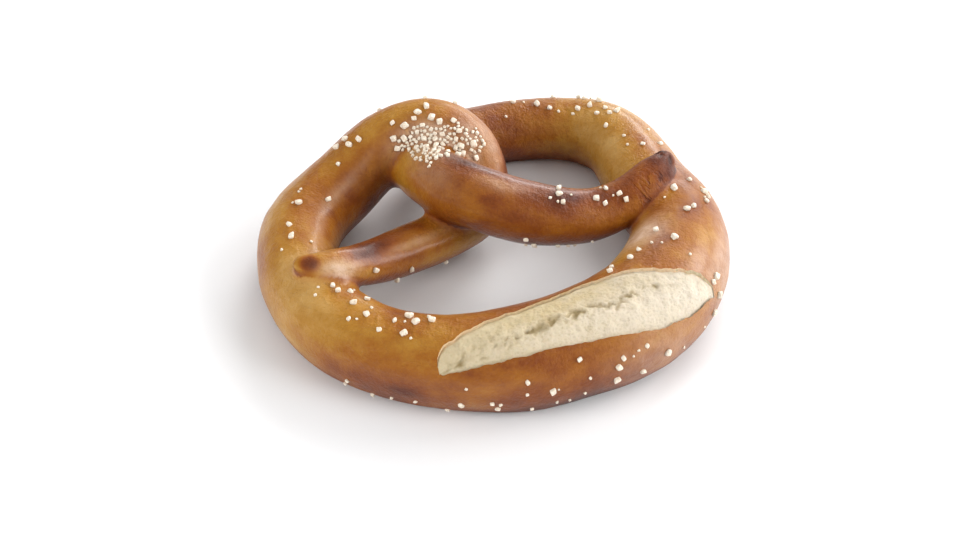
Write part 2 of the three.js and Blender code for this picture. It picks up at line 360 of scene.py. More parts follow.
def settled(mesh):
    # back onto the rope's true form, away from the creases and the base
    edges, count = edgesOf(mesh), len(mesh.vertices)
    share, rounds = bread["firstRelax"]
    points = relaxed(pointsOf(mesh), edges, np.full(count, share), rounds)
    place = placesOnRope(points)
    centre = place["section"]["centre"]
    onRope = centre + (points - centre) / place["reach"][:, None]
    clear = fade(0, bread["trueFrom"], place["other"])
    clear *= fade(bread["baseRound"], bread["baseRound"] + bread["trueFrom"], points[:, 2])
    points = points + clear[:, None] * (onRope - points)
    movePoints(mesh, points)
    near = np.clip(1 - np.abs(place["other"]) / bread["fillet"], 0, 1)
    # the way out of a crease, evened over its two sides, so that they don't cross as they fill it
    share, rounds = bread["evenRelax"]
    outward = unit(relaxed(normalsOf(mesh), edges, np.full(count, share), rounds))
    points = points + outward * (near ** 2 * bread["filletRise"])[:, None]
    share, rounds = bread["creaseRelax"]
    crease = fade(bread["fillet"], bread["filletFull"], np.abs(place["other"]))
    points = relaxed(points, edges, share * crease, rounds)
    movePoints(mesh, points)
    return mesh


def tipPlace():
    end = sectionsAt([lastStation])
    return (end["centre"] + end["along"] * end["half"][:, None])[0], end


def puckerDepth(points):
    # folds in the crust round the place where the right arm's tip was pressed in
    place, end = tipPlace()
    away = points - place
    around = np.arctan2((away * end["out"]).sum(axis=1), -(away * end["along"]).sum(axis=1))
    far = np.linalg.norm(away, axis=1)
    depth = np.zeros(len(points))
    sway, start = bread["puckerSway"]
    for angle, amount in bread["puckers"]:
        turn = (around - angle + math.pi) % (2 * math.pi) - math.pi
        depth += amount * hill(turn, 0, bread["puckerWidth"] * (1 + sway * np.sin(far + start * angle)))
    return depth * fade(*bread["puckerStart"], far) * fade(*bread["puckerEnd"], far)


def risen(mesh):
    points = pointsOf(mesh)
    height = lumpSum(points, bread["lumps"]) - puckerDepth(points)
    height *= fade(*bread["lumpsFrom"], points[:, 2])
    points = points + normalsOf(mesh) * height[:, None]
    points[:, 2] = np.maximum(points[:, 2], 0)
    movePoints(mesh, points)
    return mesh


print("pretzel: shaping the dough")
breadMesh = risen(settled(fused(*ropeSkin())))
print("pretzel: dough has", len(breadMesh.vertices), "points")


# the crust split open over pale, torn crumb
slash = {
    "start": (-39.5, -46.5),
    "end": (50.5, -49),
    "inward": 9,
    "outward": 11,
    "ends": (0.02, 0.984),  # share along
    # share along, and how far the lip stands from the slash's straight line
    "innerLip": [(0.018, 1.0), (0.024, 2.4), (0.036, 3.6), (0.06, 4.7), (0.2, 7), (0.35, 7.8),
                 (0.56, 9.8), (0.7, 8), (0.84, 3.8), (0.95, 1.8), (1, 0.2)],
    "outerLip": [(0.018, 0.2), (0.026, 1.2), (0.045, 2.2), (0.13, 5), (0.2, 6.9), (0.35, 9.2),
                 (0.46, 10.3), (0.62, 11.6), (0.73, 11.4), (0.85, 8.6), (0.92, 5), (0.96, 2.4), (1, 0)],
    "leastWidth": 0.02,
    "tear": 0.5,  # raggedness of the lips
    "outerTear": 0.6,  # share of it on the outer lip
    "tearFull": 0.25,
    "innerTears": [(2.2, 1, 11), (0.9, 0.6, 12)],  # size, share, seed
    "outerTears": [(3.5, 1, 13), (1.1, 0.6, 14)],
    "depth": 1.0,
    "endDepth": 0.25,
    "leftEnd": (0, 0.05),
    "rightEnd": (1, 0.95),
    "dome": 0.45,  # how far the crumb has risen again in the middle of the slash
    "domeEdge": (1, 0.72),
    "relief": [(3.6, 0.3, 31), (1.7, 0.2, 32), (0.9, 0.09, 33)],
    "grain": 0.42,
    "above": 4,
    "castFrom": 100,
    # where the dough tore last, as a share across, nearer the outer lip at the left
    "pitLine": [(0.05, -0.15), (0.16, -0.42), (0.28, -0.26), (0.4, -0.17), (0.64, -0.17), (0.74, 0.03)],
    "pitRowWidth": 0.2,
    "pitRowStart": (0.01, 0.05),
    "pitRowEnd": (0.9, 0.75),
    "pitRow": [(2.3, 0.62, 24), (1.3, 0.5, 25)],  # size, depth, seed
    "pitStretch": (1, 1.3, 0.3),
    "pitEdge": (0.05, 0.6),
    # share along, across, spread, depth
    "pits": [(0.1, 0.02, 0.022, 0.5), (0.15, 0.06, 0.014, 0.55), (0.2, 0.1, 0.012, 0.5)],
    "pitWidth": 0.16,
    "pitBreaks": {"size": 0.8, "seed": 26, "edge": (-0.6, 0.3)},
    "stain": {"amount": 0.24, "size": 3, "seed": 27, "edge": (-0.7, 0.3)},
    "reach": 1.1,  # share across, up to where a point is told its place in the slash
    "lowest": 12,
}
slashStart = np.array(slash["start"])
slashRun = np.array(slash["end"]) - slashStart
slashLength = np.linalg.norm(slashRun)
slashInward = np.array([-slashRun[1], slashRun[0]]) / slashLength


def slashWidths(share):
    bow = 4 * share * (1 - share)
    row = np.stack([share * slashLength, np.zeros_like(share), np.zeros_like(share)], axis=1)
    ragged = slash["tear"] * np.minimum(1, bow / slash["tearFull"])
    inner = np.interp(share, *np.transpose(slash["innerLip"]))
    outer = np.interp(share, *np.transpose(slash["outerLip"]))
    inner = inner + ragged * lumpSum(row, slash["innerTears"])
    outer = outer + ragged * slash["outerTear"] * lumpSum(row, slash["outerTears"])
    return np.maximum(inner, slash["leastWidth"]), np.maximum(outer, slash["leastWidth"])


def slashPlaces(points):
    # for each point, its share along the slash and its share across it, -1 outer lip to 1 inner lip
    away = points[:, :2] - slashStart
    along = away @ (slashRun / slashLength) / slashLength
    across = away @ slashInward
    inner, outer = slashWidths(np.clip(along, 0, 1))
    return along, np.where(across > 0, across / inner, across / outer)


def pitRow(along, across):
    row = hill(across, np.interp(along, *np.transpose(slash["pitLine"])), slash["pitRowWidth"])
    return row * fade(*slash["pitRowStart"], along) * fade(*slash["pitRowEnd"], along)


def broken(points, pattern):
    return fade(*pattern["edge"], lumps(points, pattern["size"], pattern["seed"]))


def pitDepth(points, along, across):
    row = sum(amount * fade(*slash["pitEdge"], lumps(points * slash["pitStretch"], size, seed))
              for size, amount, seed in slash["pitRow"])
    single = sum(amount * hill(along, share, spread) * hill(across, side, slash["pitWidth"])
                 for share, side, spread, amount in slash["pits"])
    return pitRow(along, across) * row + single * broken(points, slash["pitBreaks"])


def crumbRelief(points, along, across):
    edge = fade(*slash["domeEdge"], np.abs(across))
    return slash["dome"] * edge + edge * lumpSum(points, slash["relief"]) - pitDepth(points, along, across)


def slashCutter(mesh):
    tree = treeOf(pointsOf(mesh), mesh)
    longSteps = int(slashLength / slash["grain"])
    wideSteps = int((slash["inward"] + slash["outward"]) / slash["grain"])
    share = np.linspace(*slash["ends"], longSteps + 1)
    line = slashStart + share[:, None] * slashRun
    inner, outer = slashWidths(share)
    across = np.linspace(-1, 1, wideSteps + 1)
    lower, upper = [], []
    for i in range(longSteps + 1):
        for v in across:
            flat = line[i] + slashInward * v * (inner[i] if v > 0 else outer[i])
            hit, normal, _, _ = tree.ray_cast(Vector((*flat, slash["castFrom"])), Vector((0, 0, -1)))
            lower.append((*hit, *normal))
            upper.append(hit + Vector((0, 0, slash["above"])))
    lower = np.array(lower)
    points, normal = lower[:, :3], lower[:, 3:]
    along, cross = np.repeat(share, wideSteps + 1), np.tile(across, longSteps + 1)
    sink = slash["depth"] - crumbRelief(points, along, cross)
    endShare = fade(*slash["leftEnd"], along) * fade(*slash["rightEnd"], along)
    floor = points - normal * (between(slash["endDepth"], 1, endShare) * sink)[:, None]
    count = len(points)
    row = wideSteps + 1
    faces = []

    def wall(a, b, flip):
        square = (a, b, count + b, count + a)
        faces.append(square[::-1] if flip else square)

    for i in range(longSteps):
        first, following = i * row, (i + 1) * row
        for j in range(wideSteps):
            square = np.array((first + j, first + j + 1, following + j + 1, following + j))
            faces.append(square.tolist())
            faces.append((count + square[[0, 3, 2, 1]]).tolist())
        wall(first, following, False)
        wall(first + wideSteps, following + wideSteps, True)
    for first, flip in ((0, True), (longSteps * row, False)):
        for j in range(wideSteps):
            wall(first + j, first + j + 1, flip)
    return meshFrom("slashCutter", np.vstack([floor, np.array(upper)]), faces)


def slashed(mesh):
    cutter = objectFrom("slashCutter", slashCutter(mesh))
    give(cutter.data, "torn", np.ones(len(cutter.data.polygons)), "FACE")
    give(mesh, "torn", np.zeros(len(mesh.polygons)), "FACE")
    made = modified(mesh, "BOOLEAN", operation="DIFFERENCE", solver="MANIFOLD", object=cutter)
    bpy.data.objects.remove(cutter)
    return made


print("pretzel: slashing the belly")
breadMesh = slashed(breadMesh)
torn = taken(breadMesh.attributes["torn"].data, "value", 1)[:, 0] > 0.5
print("pretzel: slashed bread has", len(breadMesh.vertices), "points,", int(torn.sum()), "crumb faces,",
      sum(len(face.vertices) - 2 for face in breadMesh.polygons), "triangles")


# how far each place is baked, with painted shade and painted highlights among it; a tilt of 0 faces away from
# the middle of the loop, and 90 faces up
bakeAndPaintedLight = {
    "alongRope": [  # station, how brown
        (0, 0.25), (1, 0.26), (2.2, 0.56), (3.3, 0.45), (4.3, 0.36), (5.3, 0.54), (6.5, 0.44), (8, 0.35),
        (9.5, 0.38), (11.5, 0.36), (13, 0.29), (14.2, 0.17), (15.5, 0.23), (17, 0.31), (18.5, 0.33),
        (20, 0.53), (21.3, 0.6), (22.5, 0.5), (24, 0.38), (26, 0.44), (28, 0.46), (29.3, 0.28), (31.3, 0.2),
        (32.5, 0.28), (33.7, 0.54), (35, 0.62), (36.5, 0.36), (37.5, 0.27), (38.5, 0.5), (40, 0.5),
        (41, 0.58), (42, 0.53), (43.2, 0.54), (43.9, 0.62), (44.4, 0.7), (45, 0.72),
    ],
    "paintedShadeLowSides": {"amount": 0.18, "rise": (0.35, -0.75)},  # painted shade: the lower sides, facing down towards the tray, are darker
    "toned": [  # station, spread, tilt in degrees, spread, how much browner
        # the darker rows at stations 38.4 to 40.7 (tilts 78 to 110) are painted shade on the front strand's
        # upper back side, and the lighter rows at stations 1 (tilt 34), 3 (tilt 55) and 39.3 (tilt 86) are
        # painted highlights; the rest is the crust's own tone
        (0.2, 0.5, 8, 22, -0.22), (1, 0.4, 34, 26, -0.18), (1.8, 0.8, 85, 34, 0.3),
        (1.9, 0.6, 4, 20, -0.26), (3, 0.8, 24, 14, 0.1), (3, 0.7, 55, 12, -0.14), (3, 0.9, 96, 24, 0.16),
        (4.3, 0.7, -8, 24, -0.34), (5.1, 0.5, 54, 20, 0.36), (5.8, 0.4, 28, 16, 0.34),
        (6.4, 0.4, 52, 18, 0.1), (6.9, 0.6, 98, 28, 0.1), (8.3, 0.7, 94, 24, -0.2),
        (9.2, 0.9, 114, 16, 0.12), (9.6, 0.8, 90, 24, -0.1), (10.8, 2.2, 150, 45, 0.16),
        (11.6, 1.1, 56, 18, -0.14), (13, 0.7, 24, 16, 0.1), (14.5, 0.9, 75, 60, -0.08),
        (15, 0.7, -6, 18, -0.14), (15.3, 0.6, 114, 26, 0.26), (16.9, 1.7, 0, 26, 0.28),
        (17, 0.7, 114, 18, 0.15), (18, 0.8, -6, 16, 0.12), (21, 1.2, 12, 14, -0.06),
        (22.1, 1, -6, 16, 0.08), (25, 1.2, 136, 28, -0.24), (25.4, 0.6, 100, 14, 0.2),
        (26, 0.7, 54, 16, -0.14), (27.5, 0.9, 102, 22, -0.13), (29.4, 0.8, 54, 20, 0.2),
        (29.4, 0.7, 132, 26, -0.12), (30, 0.8, 84, 16, 0.14), (30.2, 0.8, 102, 20, 0.08),
        (30.3, 1.6, 132, 36, -0.12), (34.1, 0.7, 92, 30, -0.06), (38.4, 1.4, 110, 20, 0.22),
        (38.4, 0.6, 98, 26, 0.18), (39.3, 0.6, 86, 16, -0.2), (40.7, 0.9, 78, 30, 0.28),
        (42.2, 0.6, 72, 26, 0.12), (44, 0.6, -6, 18, -0.2), (43.4, 0.35, 62, 20, -0.15),
        (38.8, 0.6, 80, 24, 0.14), (1.7, 0.35, 64, 18, 0.24), (14.7, 0.6, 80, 22, -0.13),
        (13.2, 0.5, 60, 16, -0.06),
    ],
    "patches": [(15, 0.06, 41), (6, 0.07, 42), (2.6, 0.04, 43)],  # size, amount, seed
    "paleAndSheen": [  # station, spread, tilt in degrees, spread, how pale
        # the rows at station 1 (tilt 28), 3.1 (tilt 54), 11 (tilt 128), 23.4 (tilt 4) and 39.5 (tilt 84) are
        # painted highlights and sheen, those at 25.6 and 26.0 (tilts 34 and 14) partly so; the rest is pale
        # dough
        (1.0, 0.45, 28, 30, 0.95), (3.1, 0.6, 54, 11, 0.35), (5.2, 0.4, 84, 16, 0.5),
        (6.1, 0.4, 114, 20, 0.6), (6.3, 0.45, 66, 22, 0.5), (7.2, 1.0, 148, 22, 0.9),
        (6.5, 0.35, 104, 22, 0.6), (37.5, 0.35, 88, 24, 0.45), (11, 1.8, 128, 9, 0.3),
        (14.1, 0.5, 108, 26, 0.45), (23.4, 1.0, 4, 26, 0.3), (25.1, 0.5, 54, 14, 0.3),
        (25.6, 1.1, 34, 14, 0.45), (25.7, 0.7, 128, 24, 0.9), (26.0, 1.4, 14, 22, 0.4),
        (37.7, 0.5, 92, 20, 0.4), (38.1, 0.5, 54, 24, 0.2), (39.5, 0.5, 84, 14, 0.3),
    ],
    "matt": [  # and how matt
        (43.8, 1.9, 60, 90, 1), (0, 0.5, 60, 90, 0.8), (6.25, 0.6, 62, 28, 0.9), (26.3, 1.7, 76, 30, 0.9),
        (7.5, 0.8, 68, 20, 0.6), (21.7, 1.3, 12, 28, 0.6),
    ],
    "wrinkled": [(43.5, 0.5, 30, 34, 1), (7.9, 0.3, 150, 22, 0.6)],
    "darkSpots": [(0.15, 50, 4.2, 0.5), (44.4, 65, 7, 0.12)],  # station, tilt, reach in millimetres, amount
    "darkCore": 0.35,
    # painted shade in the folds round the right arm's tip, by their depth
    "paintedFoldShade": 0.45,
    # painted shade: darker within a few millimetres of the tray, where it is also matt
    "lowEdge": {"height": (8, 2), "brown": 0.14, "matt": 0.9},  # millimetres over the tray
    "streaks": {"stretch": (0.35, 1, 1), "rows": [(2.6, 0.07, 44)]},
    "creaseReach": 3,
    "measureSteps": 600,
}


def spotsOn(place, spots):
    tilt = np.degrees(place["tilt"])
    for station, spread, middle, wide, amount in spots:
        turn = (tilt - middle + 180) % 360 - 180
        yield amount * hill(place["station"], station, spread) * hill(turn, 0, wide)


def strongest(place, spots):
    return np.max(list(spotsOn(place, spots)), axis=0)


def brownness(points, place):
    station, amount = np.array(bakeAndPaintedLight["alongRope"], float).T
    brown = np.interp(place["station"], station, amount)
    # painted shade on the sides that face down
    brown += bakeAndPaintedLight["paintedShadeLowSides"]["amount"] * fade(*bakeAndPaintedLight["paintedShadeLowSides"]["rise"], np.sin(place["tilt"]))
    # the toned rows include painted shade and painted highlights
    brown += sum(spotsOn(place, bakeAndPaintedLight["toned"])) + lumpSum(points, bakeAndPaintedLight["patches"])
    brown += lumpSum(ropeSpace(place) * bakeAndPaintedLight["streaks"]["stretch"], bakeAndPaintedLight["streaks"]["rows"])
    # painted shade in the folds round the right arm's tip
    brown += bakeAndPaintedLight["paintedFoldShade"] * puckerDepth(points)
    # painted shade near the tray
    brown += bakeAndPaintedLight["lowEdge"]["brown"] * fade(*bakeAndPaintedLight["lowEdge"]["height"], points[:, 2])
    for station, tilt, reach, extra in bakeAndPaintedLight["darkSpots"]:
        middle = onSection(sectionsAt([station]), math.radians(tilt))
        brown += extra * fade(reach, reach * bakeAndPaintedLight["darkCore"], np.linalg.norm(points - middle, axis=1))
    return brown


def ropeSpace(place):
    # the rope pulled straight: millimetres along it, then across and up its section
    station = np.linspace(0, lastStation, bakeAndPaintedLight["measureSteps"])
    pace = sectionsAt(station)["pace"]
    length = np.concatenate([[0], np.cumsum((pace[1:] + pace[:-1]) / 2 * np.diff(station))])
    half = place["section"]["half"]
    return np.stack([
        np.interp(place["station"], station, length),
        half * np.cos(place["tilt"]),
        half * np.sin(place["tilt"]),
    ], axis=1)


def describe(mesh):
    points = pointsOf(mesh)
    place = placesOnRope(points)
    along, across = slashPlaces(points)
    within = (along > 0) & (along < 1) & (np.abs(across) < slash["reach"]) & (points[:, 2] > slash["lowest"])
    low = bakeAndPaintedLight["lowEdge"]["matt"] * fade(*bakeAndPaintedLight["lowEdge"]["height"], points[:, 2])
    stained = slash["stain"]["amount"] * pitRow(along, across) * broken(points, slash["stain"])
    give(mesh, "brown", brownness(points, place))
    # pale dough, and the painted highlights and sheen of some pale rows
    give(mesh, "paleAndSheen", strongest(place, bakeAndPaintedLight["paleAndSheen"]))
    give(mesh, "matt", np.maximum(strongest(place, bakeAndPaintedLight["matt"]), low))
    give(mesh, "wrinkled", strongest(place, bakeAndPaintedLight["wrinkled"]))
    # nearness to another strand: it darkens the crease as painted shade, and fades the rope's textures there
    give(mesh, "crease", fade(bakeAndPaintedLight["creaseReach"], 0, np.abs(place["other"])))
    give(mesh, "across", np.where(within, across, 0))
    give(mesh, "alongSlash", np.where(within, along, 0))
    # the pits' depth, for their painted shade, with the stain along their row
    give(mesh, "pit", np.where(within, pitDepth(points, along, across) + stained, 0))
    give(mesh, "ropeSpace", ropeSpace(place))
    return points


print("pretzel: describing the bake")
breadPoints = describe(breadMesh)


def materialNamed(name):
    material = bpy.data.materials.new(name)
    material.use_nodes = True
    material.node_tree.nodes.clear()
    where = addNode(material.node_tree, "ShaderNodeTexCoord").outputs["Object"]
    return material, material.node_tree, where


def addNode(tree, kind, inputs=None, **settings):
    made = tree.nodes.new(kind)
    for name, value in settings.items():
        setattr(made, name, value)
    for name, value in (inputs or {}).items():
        if isinstance(value, bpy.types.NodeSocket):
            tree.links.new(value, made.inputs[name])
        else:
            made.inputs[name].default_value = value
    return made


def attribute(tree, name, vector=False):
    return addNode(tree, "ShaderNodeAttribute", attribute_name=name).outputs["Vector" if vector else "Fac"]


def noise(tree, where, scale, detail=3, roughness=0.55, distortion=0):
    return addNode(tree, "ShaderNodeTexNoise", {
        "Vector": where, "Scale": scale, "Detail": detail, "Roughness": roughness, "Distortion": distortion,
    }).outputs["Fac"]


def sums(tree, operation, first, second, third=None):
    made = addNode(tree, "ShaderNodeMath", operation=operation)
    for socket, value in zip(made.inputs, (first, second, third)):
        if isinstance(value, bpy.types.NodeSocket):
            tree.links.new(value, socket)
        elif value is not None:
            socket.default_value = value
    return made.outputs[0]


def mapped(tree, value, low, high, newLow, newHigh):
    return addNode(tree, "ShaderNodeMapRange", {
        "Value": value, "From Min": low, "From Max": high, "To Min": newLow, "To Max": newHigh,
    }).outputs["Result"]


def blended(tree, share, first, second, kind="MIX"):
    made = addNode(tree, "ShaderNodeMix", data_type="RGBA", blend_type=kind)
    for name, value in (("Factor", share), ("A", first), ("B", second)):
        socket = next(s for s in made.inputs if s.name == name and (name == "Factor" or s.type == "RGBA"))
        if isinstance(value, bpy.types.NodeSocket):
            tree.links.new(value, socket)
        else:
            socket.default_value = value
    return next(s for s in made.outputs if s.type == "RGBA")


def ramp(tree, value, stops):
    made = addNode(tree, "ShaderNodeValToRGB", {"Fac": value})
    made.color_ramp.interpolation = "EASE" if len(stops) == 2 else "LINEAR"
    while len(made.color_ramp.elements) < len(stops):
        made.color_ramp.elements.new(1)
    for element, (position, colour) in zip(made.color_ramp.elements, stops):
        element.position = position
        element.color = (*colour, 1)
    return made.outputs["Color"]


def bumped(tree, height, distance, strength=1.0, normal=None):
    inputs = {"Height": height, "Distance": distance, "Strength": strength}
    if normal is not None:
        inputs["Normal"] = normal
    return addNode(tree, "ShaderNodeBump", inputs).outputs["Normal"]


def surfaced(tree, inputs, glow=None):
    if glow:
        names = ("Subsurface Weight", "Subsurface Radius", "Subsurface Scale")
        inputs = {**inputs, **dict(zip(names, glow))}
    surface = addNode(tree, "ShaderNodeBsdfPrincipled", inputs)
    addNode(tree, "ShaderNodeOutputMaterial", {"Surface": surface.outputs[0]})


# a noise here is its scale, detail, roughness and distortion; an edge is where something starts to show
# and where it shows in full, and then how much it shows at both
crust = {
    "browns": [(0.0, (0.50, 0.285, 0.080)), (0.22, (0.385, 0.175, 0.018)), (0.42, (0.290, 0.095, 0.005)),
               (0.62, (0.190, 0.044, 0.003)), (0.82, (0.095, 0.017, 0.002)), (1.0, (0.036, 0.007, 0.002))],
    "paleAndSheen": (0.62, 0.44, 0.32, 1),
    "paleNoise": (260, 4),
    "paleClouds": (0.3, 0.7, 0.55, 1.2),
    "mottle": 0.32,
    "mottleNoise": (0.16, 4, 0.6, 0.4),
    "freckles": 0.2,
    "freckleNoise": (900, 3, 0.6),
    # painted shade: the crust is darker in the creases where strands meet
    "paintedCreaseShade": 0.2,
    "clearOfCrease": (0.35, 0.6),
    "roughness": (0.36, 0.5),
    "patchNoise": (120, 3),
    "patchEdge": (0.3, 0.7),
    "mattRoughness": 0.3,  # how much rougher where it is matt
    "specular": 0.3,
    "coat": 0.42,
    "coatRoughness": 0.23,
    "wrinkleRun": (0.55, 0.16, 0.16),  # finer along the rope than round it
    "wrinkleNoise": (1, 2, 0.5, 0.6),
    "wrinkleEdge": (0.45, 0.62),
    # painted shade in the wrinkles' grooves
    "paintedWrinkleShade": 0.36,
    "wrinkleBump": 0.001,
    "skinNoise": (0.45, 5, 0.6, 0.3),
    "skinBump": 0.0008,
    "poreNoise": (1500, 3, 0.6),
    "poreBump": 0.00024,
}


def crustMaterial():
    material, tree, where = materialNamed("crust")
    stretched = attribute(tree, "ropeSpace", vector=True)
    brown = attribute(tree, "brown")
    crease = attribute(tree, "crease")
    # the measure along the rope jumps from strand to strand at a crease, so what follows it fades there
    clear = mapped(tree, crease, *crust["clearOfCrease"], 1, 0)
    mottle = sums(tree, "SUBTRACT", noise(tree, stretched, *crust["mottleNoise"]), 0.5)
    mottle = sums(tree, "MULTIPLY", mottle, clear)
    freckles = sums(tree, "SUBTRACT", noise(tree, where, *crust["freckleNoise"]), 0.5)
    run = addNode(tree, "ShaderNodeVectorMath", {0: stretched, 1: crust["wrinkleRun"]}, operation="MULTIPLY")
    wrinkles = noise(tree, run.outputs[0], *crust["wrinkleNoise"])
    wrinkles = mapped(tree, wrinkles, *crust["wrinkleEdge"], 0, 1)
    wrinkles = sums(tree, "MULTIPLY", wrinkles, attribute(tree, "wrinkled"))
    wrinkles = sums(tree, "MULTIPLY", wrinkles, clear)
    # painted shade: darker in the creases between strands and in the wrinkles' grooves
    marks = {"mottle": mottle, "freckles": freckles, "paintedCreaseShade": crease, "paintedWrinkleShade": wrinkles}
    for name, mark in marks.items():
        brown = sums(tree, "MULTIPLY_ADD", mark, crust[name], brown)
    colour = ramp(tree, brown, crust["browns"])
    # pale dough, and painted highlights and sheen where some pale rows stand for them
    clouds = mapped(tree, noise(tree, where, *crust["paleNoise"]), *crust["paleClouds"])
    paleAndSheen = sums(tree, "MULTIPLY", attribute(tree, "paleAndSheen"), clouds)
    colour = blended(tree, paleAndSheen, colour, crust["paleAndSheen"])
    patches = noise(tree, where, *crust["patchNoise"])
    roughness = mapped(tree, patches, *crust["patchEdge"], *crust["roughness"])
    matt = attribute(tree, "matt")
    roughness = sums(tree, "MULTIPLY_ADD", matt, crust["mattRoughness"], roughness)
    skin = bumped(tree, noise(tree, stretched, *crust["skinNoise"]), crust["skinBump"], clear)
    skin = bumped(tree, sums(tree, "MULTIPLY", wrinkles, -1), crust["wrinkleBump"], normal=skin)
    pores = bumped(tree, noise(tree, where, *crust["poreNoise"]), crust["poreBump"], normal=skin)
    surfaced(tree, {
        "Base Color": colour,
        "Roughness": roughness,
        "Normal": pores,
        "Coat Weight": mapped(tree, matt, 0, 1, crust["coat"], 0),
        "Coat Roughness": crust["coatRoughness"],
        "Specular IOR Level": crust["specular"],
    })
    return material


crumb = {
    "inner": (0.46, 0.36, 0.20, 1),  # the half towards the loop
    "outer": (0.59, 0.505, 0.375, 1),
    "left": (0.53, 0.44, 0.285, 1),  # at the slash's end on the left
    "light": (0.60, 0.53, 0.43, 1),  # towards the slash's end on the right
    # darker crumb: its blotches, and painted shade in the pores and pits
    "pit": (0.25, 0.18, 0.075, 1),
    "rim": (0.68, 0.47, 0.27, 1),
    "cloudNoise": (220, 4),
    "sideEdge": (-0.35, 0.3, 0, 1),
    "sideCloud": 1.2,
    "alongCloud": 0.6,
    "leftEdge": (0.5, 0.12, 0, 0.85),
    "rightEdge": (0.45, 0.9, 0, 0.85),
    "blotchNoise": (420, 3),
    "blotchEdge": (0.56, 0.74, 0, 0.26),
    "rimEdge": (0.9, 1.0, 0, 0.7),
    "cells": 900,
    "cellEdge": (0.12, 0.42, 0.18, 0),
    "pitEdge": (0.12, 0.75, 0, 0.9),
    "roughness": 0.82,
    "roughNoise": (1300, 5, 0.65),
    "bump": 0.0003,
    "cellBump": 0.6,
    "glow": (0.15, (1.0, 0.6, 0.3), 0.001),  # how much light goes under the surface, its colour, how deep
}


def crumbMaterial():
    material, tree, where = materialNamed("crumb")
    across = attribute(tree, "across")
    cloud = sums(tree, "SUBTRACT", noise(tree, where, *crumb["cloudNoise"]), 0.5)
    side = sums(tree, "MULTIPLY_ADD", cloud, crumb["sideCloud"], across)
    along = sums(tree, "MULTIPLY_ADD", cloud, crumb["alongCloud"], attribute(tree, "alongSlash"))
    blotches = noise(tree, where, *crumb["blotchNoise"])
    edge = sums(tree, "ABSOLUTE", across, 0)
    cells = addNode(tree, "ShaderNodeTexVoronoi", {"Vector": where, "Scale": crumb["cells"]}, feature="F1")
    cells = cells.outputs["Distance"]
    colour = blended(tree, mapped(tree, side, *crumb["sideEdge"]), crumb["outer"], crumb["inner"])
    # painted shade: the pores are darker at their middles, and the pits darker the deeper they sink; the
    # blotches, the rim and the stain along the pit row are the crumb's own tone
    for value, limits, other in (
        (along, "leftEdge", "left"), (along, "rightEdge", "light"), (blotches, "blotchEdge", "pit"),
        (edge, "rimEdge", "rim"), (cells, "cellEdge", "pit"), (attribute(tree, "pit"), "pitEdge", "pit"),
    ):
        colour = blended(tree, mapped(tree, value, *crumb[limits]), colour, crumb[other])
    rough = bumped(tree, noise(tree, where, *crumb["roughNoise"]), crumb["bump"])
    holed = bumped(tree, cells, crumb["bump"], crumb["cellBump"], rough)
    surfaced(tree, {"Base Color": colour, "Roughness": crumb["roughness"], "Normal": holed}, crumb["glow"])
    return material


salt = {
    "colour": (0.85, 0.77, 0.65, 1),
    "cloud": (0.70, 0.60, 0.47, 1),
    "zones": [  # stations along, degrees round (0 outward, 90 up), count and size
        ((6, 8.3), (104, 158), 22, 1.8), ((36.9, 38.3), (70, 130), 9, 1.8), ((6.8, 9.2), (35, 100), 6, 1.8),
        ((9.2, 14.4), (60, 125), 8, 1.8), ((14.9, 18.9), (66, 125), 14, 1.8),
        ((16.3, 21.6), (-34, -6), 14, 1.3), ((19, 22), (-6, 34), 3, 1.8),
        ((22.3, 25.4), (-12, 32), 13, 1.8), ((22.5, 24.8), (114, 142), 5, 1.8),
        ((25.1, 28.3), (40, 128), 9, 1.8), ((29.3, 34), (48, 116), 16, 1.8),
        ((40.4, 42.8), (50, 112), 8, 1.8), ((39.8, 42), (-50, -14), 8, 1.3), ((1, 4.4), (-50, 40), 4, 1.8),
    ],
    "fineZones": [  # small grains and broken ones, without a place in the solid
        ((7.65, 8.25), (142, 164), 16, 1.15), ((7.2, 7.75), (134, 160), 22, 1.15),
        ((6.75, 7.25), (122, 154), 24, 1.15), ((6.4, 6.85), (102, 140), 20, 1.1),
        ((6.15, 6.55), (84, 116), 12, 1.1), ((37.3, 38.1), (60, 118), 34, 1.1),
        ((9, 14), (55, 120), 5, 0.9), ((14.5, 19), (60, 125), 8, 0.9), ((19, 25.4), (-12, 34), 9, 0.9),
        ((25, 28.4), (40, 132), 6, 0.9), ((29, 34), (44, 118), 8, 0.9), ((40, 43), (45, 115), 5, 0.9),
    ],
    "apart": 0.7,  # share of two grains' sizes that they keep between their middles
    "fineApart": 0.52,
    "seed": 29,
    "tries": 12,
    "sizes": (0.75, 1.15),
    "lean": 0.5,
    "checkSteps": (0.5, 0.25),  # stations between the sections that a grain could be buried in
    "finelyChecked": (5, 8),
    "strandNear": 2.5,
    "sameStrand": 2,
    "strandSurface": 1.05,
    "slashLowest": 12.5,
    "slashMargin": 1,
    "slashReach": 1.12,
    "steps": 4,
    "boxiness": 5.0,
    "swell": 1.18,
    "proportions": (1, 0.85, 0.8),
    "corners": (0.58, 1.08),  # how far a corner is knocked in or drawn out
    "chips": {"amount": 0.16, "size": 0.5, "apart": 7.3, "seed": 51},
    "proud": 0.14,  # share of its size that a grain stands clear of the crust
    "cloudNoise": (1400, 4),
    "cloudEdge": (0.35, 0.65, 0, 1),
    "facetNoise": (2200, 3),
    "facetBump": 0.0003,
    "roughness": 0.32,
    "glow": (0.3, (1.0, 0.9, 0.8), 0.0006),
    "ior": 1.54,
}


